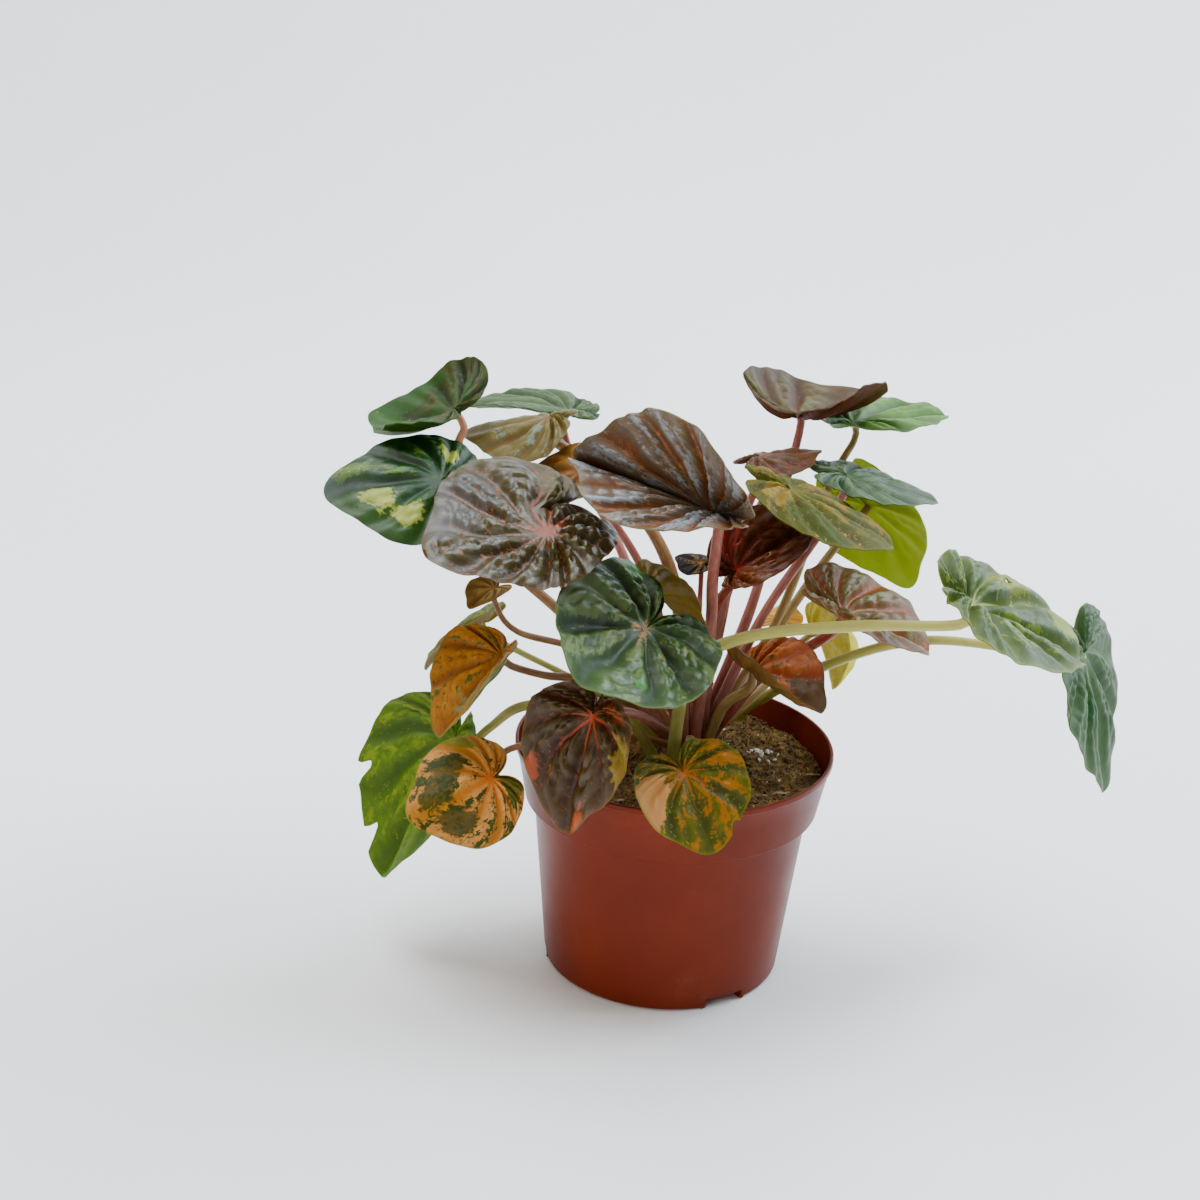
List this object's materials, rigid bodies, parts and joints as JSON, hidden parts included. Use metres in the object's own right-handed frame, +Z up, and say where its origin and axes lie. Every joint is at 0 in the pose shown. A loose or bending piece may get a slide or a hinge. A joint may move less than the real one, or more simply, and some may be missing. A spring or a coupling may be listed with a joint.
{
  "type": "potted ripple peperomia",
  "caption": "Bushy peperomia with long-stalked, heart-shaped rippled leaves, growing in a tapered plastic nursery pot filled with peat.",
  "frame": {"origin": "centre of the pot's underside, at floor level", "axes": "+Z up along the pot's axis; the plant's widest leaves reach along X, and its fullest side faces -Y"},
  "size_m": [0.3024, 0.1952, 0.2319],
  "materials": {
    "terracotta_plastic": "smooth, slightly glossy moulded plastic",
    "peat": "dark fibrous peat with bark, white grit and straw",
    "rosy_stalk": "smooth fleshy stalk, pink to red-brown",
    "pale_green_stalk": "smooth fleshy stalk, pale yellow-green",
    "leaf_green": "waxy, rippled leaf with veins pressed in",
    "leaf_dark_green": "waxy, rippled leaf with veins pressed in",
    "leaf_pale_green": "waxy, rippled leaf with veins pressed in",
    "leaf_lime": "waxy, rippled leaf with veins pressed in",
    "leaf_olive": "waxy, rippled leaf with veins pressed in",
    "leaf_brown": "waxy, rippled leaf with veins pressed in",
    "leaf_grey_brown": "waxy, rippled leaf with veins pressed in",
    "leaf_maroon": "waxy, rippled leaf with veins pressed in",
    "leaf_orange": "waxy, rippled leaf with veins pressed in"
  },
  "bodies": {
    "root": {"pot": "terracotta_plastic", "soil": "peat", "crown_with_rosy_stalks": "rosy_stalk", "stalk_left_small_olive": "pale_green_stalk", "stalk_low_left_green": "pale_green_stalk", "stalk_far_right_variegated": "pale_green_stalk", "stalk_far_right_hanging": "pale_green_stalk", "leaf_back_left_folded": "leaf_green", "leaf_left_green": "leaf_green", "leaf_back_left_pale": "leaf_pale_green", "leaf_back_left_brown": "leaf_brown", "leaf_left_large_brown": "leaf_brown", "leaf_top_large_grey": "leaf_grey_brown", "leaf_front_green": "leaf_dark_green", "leaf_left_small_brown": "leaf_brown", "leaf_back_centre_olive": "leaf_olive", "leaf_left_orange": "leaf_orange", "leaf_left_small_olive": "leaf_olive", "leaf_low_left_green": "leaf_green", "leaf_low_left_variegated": "leaf_orange", "leaf_front_dark": "leaf_grey_brown", "leaf_front_low_variegated": "leaf_olive", "leaf_centre_brown": "leaf_brown", "leaf_back_small_olive": "leaf_olive", "leaf_right_dark_red": "leaf_maroon", "leaf_back_right_maroon": "leaf_maroon", "leaf_right_yellow_green": "leaf_lime", "leaf_right_grey_green": "leaf_pale_green", "leaf_top_right_folded": "leaf_brown", "leaf_top_right_pale": "leaf_pale_green", "leaf_back_right_lime": "leaf_lime", "leaf_right_folded": "leaf_olive", "leaf_far_right_variegated": "leaf_green", "leaf_far_right_hanging": "leaf_dark_green", "leaf_centre_small_lime": "leaf_lime", "leaf_right_low_olive": "leaf_olive", "leaf_right_low_orange": "leaf_orange"}
  },
  "joints": []
}
